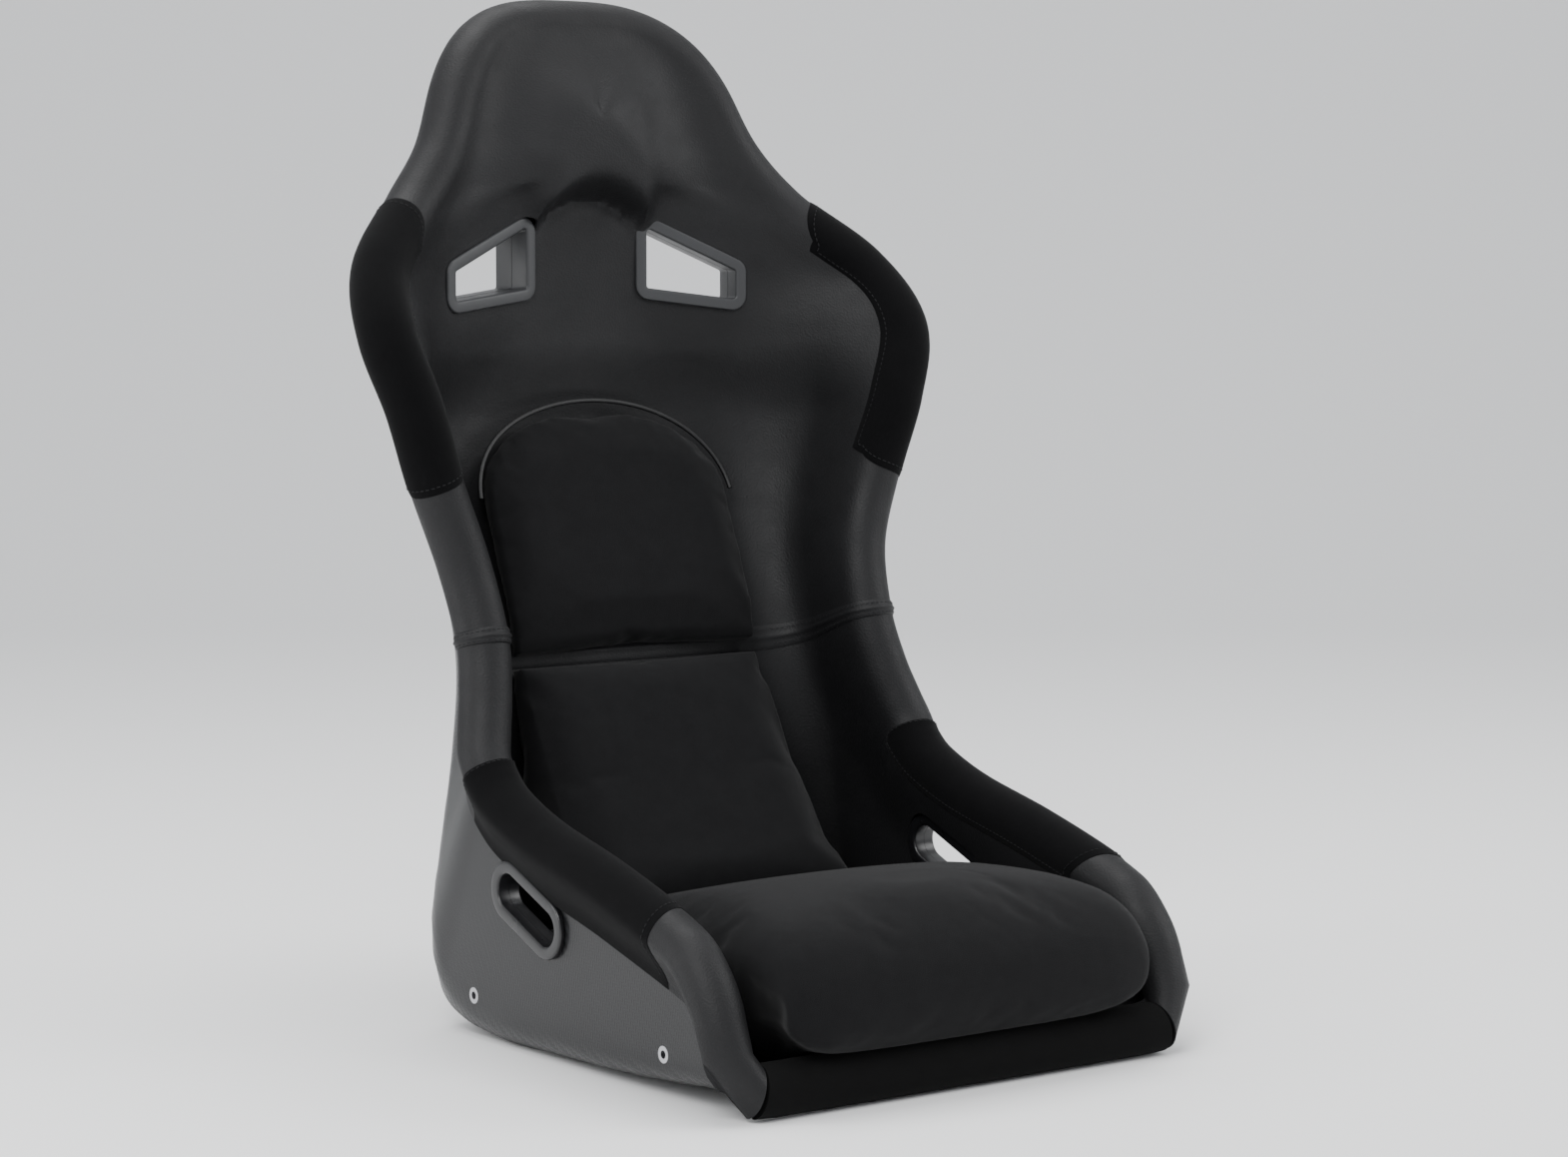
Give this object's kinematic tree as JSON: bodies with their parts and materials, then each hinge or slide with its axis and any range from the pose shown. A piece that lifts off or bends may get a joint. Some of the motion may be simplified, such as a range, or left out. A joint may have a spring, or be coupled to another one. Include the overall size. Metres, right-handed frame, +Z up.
{
  "type": "racing seat",
  "caption": "Fixed-back bucket racing seat: moulded shell with padded rim rolls, belt slots with bezels, suede wear patches and loose back and seat cushions.",
  "frame": {"origin": "on the floor under the centre of the seat's bounding box, in the seat's plane of symmetry", "axes": "+Z up, the seat faces -Y, +X towards the seat's own left side"},
  "size_m": [0.6036, 0.6535, 0.9048],
  "materials": {
    "shell_gelcoat": "glossy dark carbon-weave laminate",
    "leatherette": "black leatherette with a fine pebble grain and a soft sheen",
    "suede": "matte black suede",
    "apron_vinyl": "matte black lining cloth",
    "cushion_cloth": "black brushed cloth",
    "piping": "black piping with a satin gloss",
    "hook_tape": "black hook tape",
    "foam": "grey polyurethane foam",
    "bezel_plastic": "satin mid-grey moulded plastic",
    "lap_plastic": "satin black moulded plastic",
    "plate_alloy": "plain aluminium plate",
    "insert_steel": "zinc plated steel"
  },
  "bodies": {
    "seat": {"shell": "shell_gelcoat", "upper_cover": "leatherette", "lower_cover": "leatherette", "waist_band": "leatherette", "front_apron": "apron_vinyl", "head_foam": "foam", "back_foam": "foam", "shoulder_foam_left": "foam", "shoulder_foam_right": "foam", "pan_foam": "foam", "thigh_foam_left": "foam", "thigh_foam_right": "foam", "shoulder_patch_left": "suede", "shoulder_patch_right": "suede", "thigh_patch_left": "suede", "thigh_patch_right": "suede", "upper_hook_strips": "hook_tape", "lower_hook_strips": "hook_tape", "seat_hook_strips": "hook_tape", "shoulder_bezel_front_left": "bezel_plastic", "shoulder_bezel_front_right": "bezel_plastic", "shoulder_bezel_rear_left": "bezel_plastic", "shoulder_bezel_rear_right": "bezel_plastic", "lap_bezel_inner_left": "lap_plastic", "lap_bezel_inner_right": "lap_plastic", "lap_bezel_outer_left": "bezel_plastic", "lap_bezel_outer_right": "bezel_plastic", "mount_plate_left": "plate_alloy", "mount_plate_right": "plate_alloy", "threaded_inserts": "insert_steel"},
    "upper_back_cushion": {"upper_cushion_cover": "cushion_cloth", "upper_cushion_foam": "foam", "upper_cushion_piping": "piping"},
    "lower_back_cushion": {"lower_cushion_cover": "cushion_cloth", "lower_cushion_foam": "foam"},
    "base_cushion": {"seat_cushion_cover": "cushion_cloth", "seat_cushion_foam": "foam"}
  },
  "joints": [
    {"name": "upper_cushion_pull", "type": "slide", "parent": "seat", "child": "upper_back_cushion", "axis": [0, -0.9166, 0.3998], "range_m": [0, 0.12]},
    {"name": "lower_cushion_pull", "type": "slide", "parent": "seat", "child": "lower_back_cushion", "axis": [0, -0.9166, 0.3998], "range_m": [0, 0.12]},
    {"name": "seat_cushion_pull", "type": "slide", "parent": "seat", "child": "base_cushion", "axis": [0, -0.9166, 0.3998], "range_m": [0, 0.12]}
  ]
}
